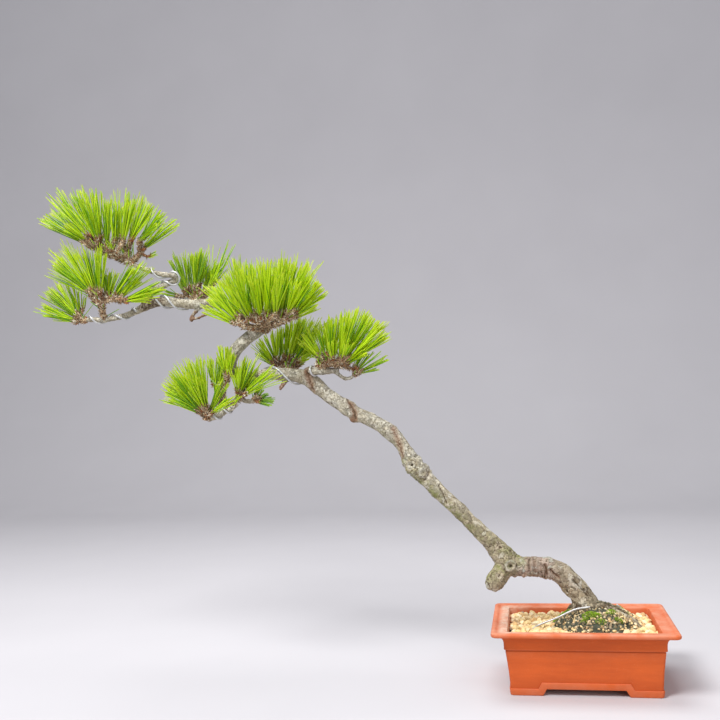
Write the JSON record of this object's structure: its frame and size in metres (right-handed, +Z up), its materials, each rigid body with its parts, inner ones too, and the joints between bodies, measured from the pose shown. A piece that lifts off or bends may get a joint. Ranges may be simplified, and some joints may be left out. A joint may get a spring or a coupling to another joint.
{
  "type": "potted bonsai tree",
  "caption": "Leaning bonsai pine in a rectangular clay pot: a bent trunk reaches out over one end and carries separate pads of upright needles, with training wire on its branches.",
  "frame": {"origin": "middle of the bounding box in plan, on the surface that the pot's feet stand on", "axes": "+X along the pot's long side, away from the side that the tree leans to; +Y towards the pot's back; +Z up"},
  "size_m": [0.769, 0.166, 0.6196],
  "materials": {
    "clay": "unglazed orange-brown clay, matt, with a slightly paler worn lip",
    "screen": "matt black plastic mesh",
    "soil": "dark granular planting mix",
    "gravel": "dry cream grit",
    "bark": "rough grey-beige bark with a little green lichen",
    "needles": "fresh yellow-green needles with a soft sheen on short woody shoots",
    "wire": "plain soft-drawn aluminium wire"
  },
  "bodies": {
    "root": {"pot": "clay", "drain_screen_left": "screen", "drain_screen_right": "screen", "soil": "soil", "gravel": "gravel", "trunk": "bark", "tie_down_wire": "wire", "training_wire_branch_a": "wire", "training_wire_branch_b": "wire", "training_wire_low_left": "wire", "training_wire_upper": "wire", "training_wire_bend": "wire", "training_wire_right": "wire", "training_wire_low_pad": "wire", "spray_apex": "needles", "spray_left_middle": "needles", "spray_far_left": "needles", "spray_back_middle": "needles", "spray_centre": "needles", "spray_behind_trunk": "needles", "spray_right_pad": "needles", "spray_right_tuft": "needles", "spray_low_left": "needles", "spray_low_upright": "needles", "spray_low_middle": "needles", "spray_low_tuft": "needles"}
  },
  "joints": []
}
